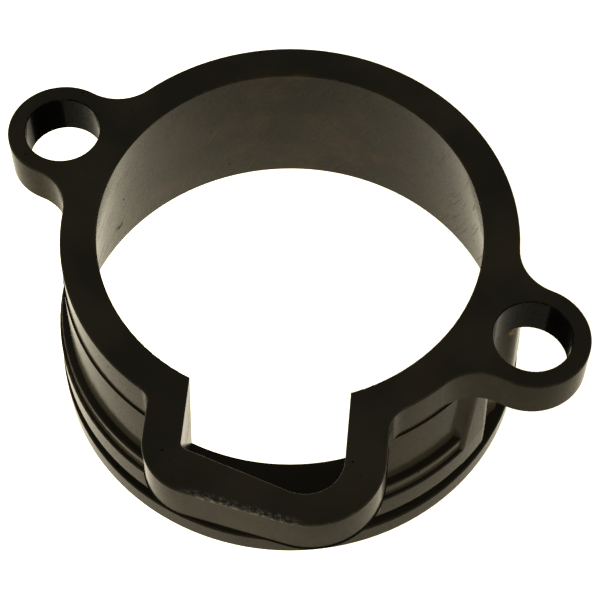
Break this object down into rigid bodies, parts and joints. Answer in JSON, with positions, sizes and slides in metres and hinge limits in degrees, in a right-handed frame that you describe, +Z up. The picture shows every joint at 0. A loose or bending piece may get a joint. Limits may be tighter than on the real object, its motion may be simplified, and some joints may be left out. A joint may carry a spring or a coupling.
{
  "type": "flange collar",
  "caption": "Black moulded flange collar: tapered bore, bolt ears on opposite sides, and a side lobe whose pocket opens into the bore, on a stepped spigot with a groove.",
  "frame": {"origin": "on the bore axis, in the plane of the foot's lower face", "axes": "+Z up the bore axis towards the eared plate, +X through the centre of one bolt ear, so the side lobe points towards -Y and a little +X"},
  "size_m": [0.1, 0.0858, 0.0356],
  "materials": {
    "plate_plastic": "black moulded plastic with an olive-brown cast, satin gloss, edges a little worn",
    "gasket_rubber": "matt black thin rubber, seen only as a dark line",
    "body_plastic": "black moulded plastic, satin gloss, faint tool marks and small pits in the bore",
    "base_plastic": "black moulded plastic, satin gloss, brownish in the groove"
  },
  "bodies": {
    "root": {"top_plate": "plate_plastic", "plate_gasket": "gasket_rubber", "body": "body_plastic", "base_ring": "base_plastic"}
  },
  "joints": []
}
